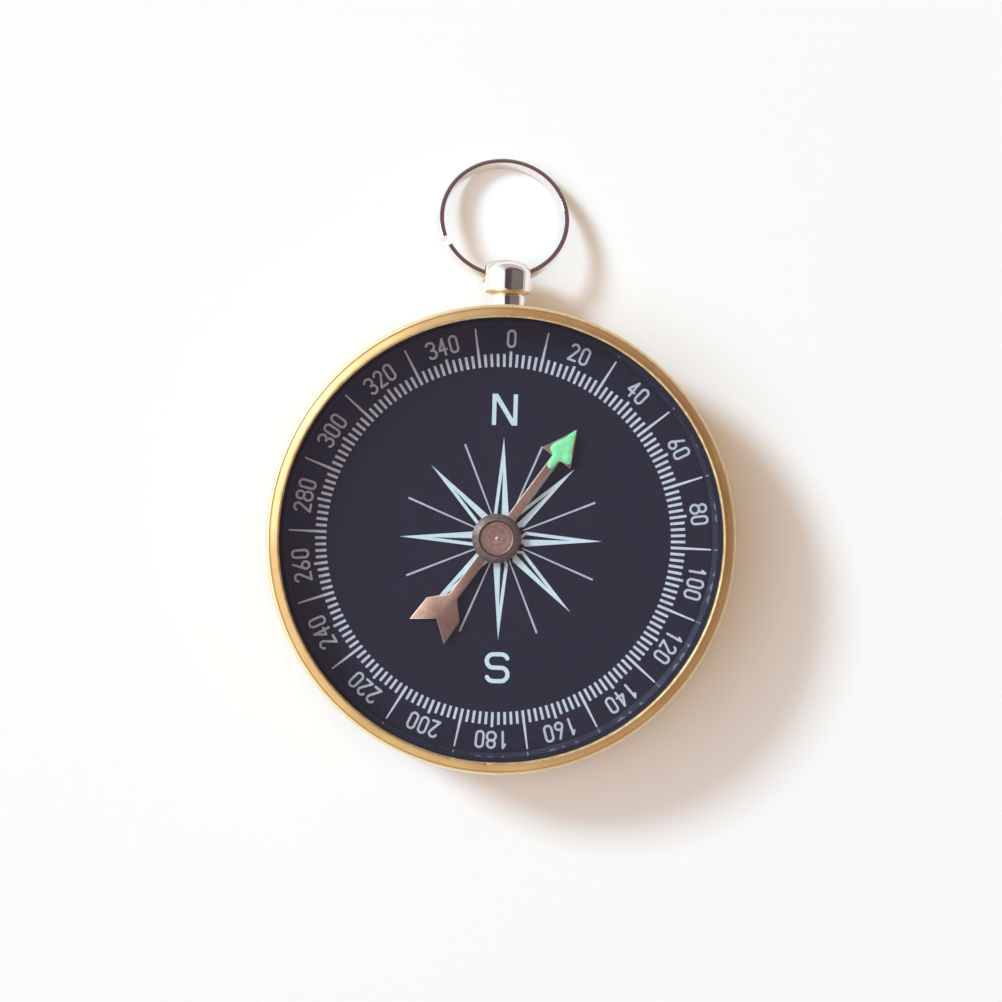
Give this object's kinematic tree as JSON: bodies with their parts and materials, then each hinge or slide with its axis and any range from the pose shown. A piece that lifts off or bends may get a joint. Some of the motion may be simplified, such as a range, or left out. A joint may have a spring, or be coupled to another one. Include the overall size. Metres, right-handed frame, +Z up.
{
  "type": "compass keychain",
  "caption": "Small round pocket compass: gold turned case, printed dial under glass, swinging arrow needle on a pivot, domed neck with an open jump ring.",
  "frame": {"origin": "centre of the flat back face, on the surface that the compass lies on", "axes": "+Z up out of the dial, +Y towards the neck and its ring, +X to the dial's east"},
  "size_m": [0.044, 0.0584, 0.0107],
  "materials": {
    "case_body": "gold-anodised turned aluminium, fine turning marks",
    "bezel_ring": "gold-anodised, polished, with a few nicks on its inner edge",
    "crystal": "clear, flat and polished",
    "capsule": "glossy black moulding",
    "foam_ring": "thin black foam",
    "dial_plate": "matte slate-black paint with a faint violet cast",
    "degree_ticks": "printed pale blue-white ink",
    "ten_degree_lines": "printed pale blue-white ink",
    "degree_numerals": "printed pale blue-white ink",
    "cardinal_letters": "printed pale blue-white ink",
    "rose_spikes": "printed pale blue-white ink",
    "rose_rays": "printed pale blue-white ink",
    "pivot_bush": "turned",
    "pivot_pin": "hardened, polished point",
    "needle_blade": "magnetised steel strip, lacquered copper brown",
    "needle_cap": "turned, tarnished copper brown",
    "jewel_cup": "polished cup bearing",
    "lume_patch": "pale green luminous paint",
    "neck_collar": "polished nickel plate",
    "pendant_head": "polished nickel plate",
    "pendant_nut": "plain",
    "jump_ring": "nickel-plated flat steel wire"
  },
  "bodies": {
    "case": {"case_body": "case_body", "bezel_ring": "bezel_ring", "crystal": "crystal", "capsule": "capsule", "foam_ring": "foam_ring", "dial_plate": "dial_plate", "degree_ticks": "degree_ticks", "ten_degree_lines": "ten_degree_lines", "degree_numerals": "degree_numerals", "cardinal_letters": "cardinal_letters", "rose_spikes": "rose_spikes", "rose_rays": "rose_rays", "pivot_bush": "pivot_bush", "pivot_pin": "pivot_pin", "neck_collar": "neck_collar", "pendant_head": "pendant_head", "pendant_nut": "pendant_nut"},
    "needle": {"needle_blade": "needle_blade", "needle_cap": "needle_cap", "jewel_cup": "jewel_cup", "lume_patch": "lume_patch"},
    "ring": {"jump_ring": "jump_ring"}
  },
  "joints": [
    {"name": "needle_spin", "type": "hinge", "parent": "case", "child": "needle", "pos_m": [-0.0004, 0.00008, 0.0074], "axis": [0, 0, 1], "continuous": true},
    {"name": "ring_swing", "type": "hinge", "parent": "case", "child": "ring", "pos_m": [0, 0.02502, 0.0046], "axis": [1, 0, 0], "range_deg": [-110, 135]}
  ]
}
